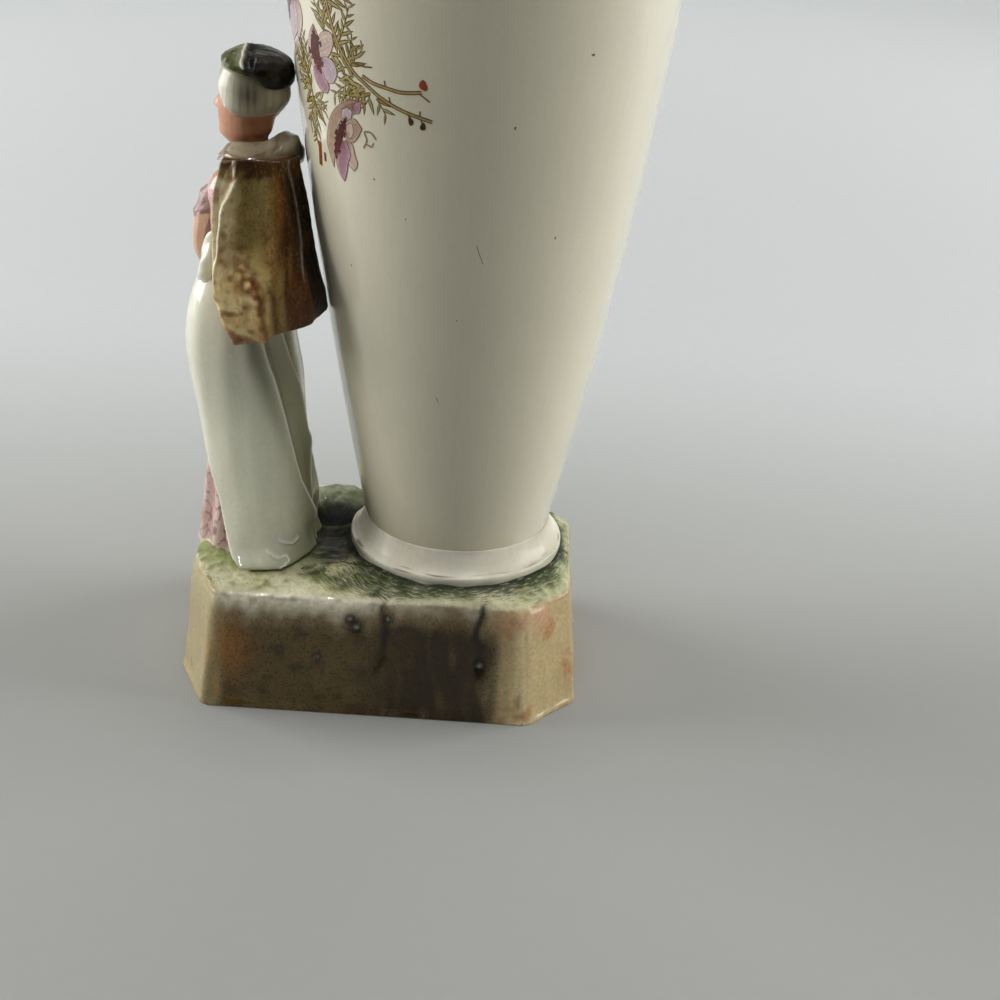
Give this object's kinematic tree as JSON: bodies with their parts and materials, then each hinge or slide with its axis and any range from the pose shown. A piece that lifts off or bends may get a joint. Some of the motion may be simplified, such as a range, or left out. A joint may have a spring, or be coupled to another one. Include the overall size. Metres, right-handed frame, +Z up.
{
  "type": "spill vase",
  "caption": "Tapered glazed ceramic spill vase on a turned foot, with a standing figure in cap and pack leaning on it, on a hollow rock plinth.",
  "frame": {"origin": "middle of the plinth's underside, where the object stands", "axes": "+Z up, +Y the way the figure faces, +X from the figure towards the vase"},
  "size_m": [0.0956, 0.0818, 0.1945],
  "materials": {
    "cream_glaze": "glossy cream glaze over white porcelain, with a painted flower spray",
    "white_glaze": "glossy white glaze",
    "pink_glaze": "pink enamel under gloss",
    "flesh_glaze": "flesh-coloured enamel",
    "brown_glaze": "mottled ochre and brown enamel",
    "stone_glaze": "speckled brown stone enamel with moss green on top",
    "moss_glaze": "washed moss green enamel",
    "dark_glaze": "brown-black and green enamel"
  },
  "bodies": {
    "root": {"plinth": "stone_glaze", "vase_foot": "white_glaze", "vase_body": "cream_glaze", "gown": "pink_glaze", "overskirt": "white_glaze", "bodice": "pink_glaze", "left_arm": "flesh_glaze", "right_arm": "flesh_glaze", "head": "flesh_glaze", "cap": "dark_glaze", "collar": "white_glaze", "pack": "brown_glaze", "rock_mound": "moss_glaze", "moss_tuft": "moss_glaze"}
  },
  "joints": []
}
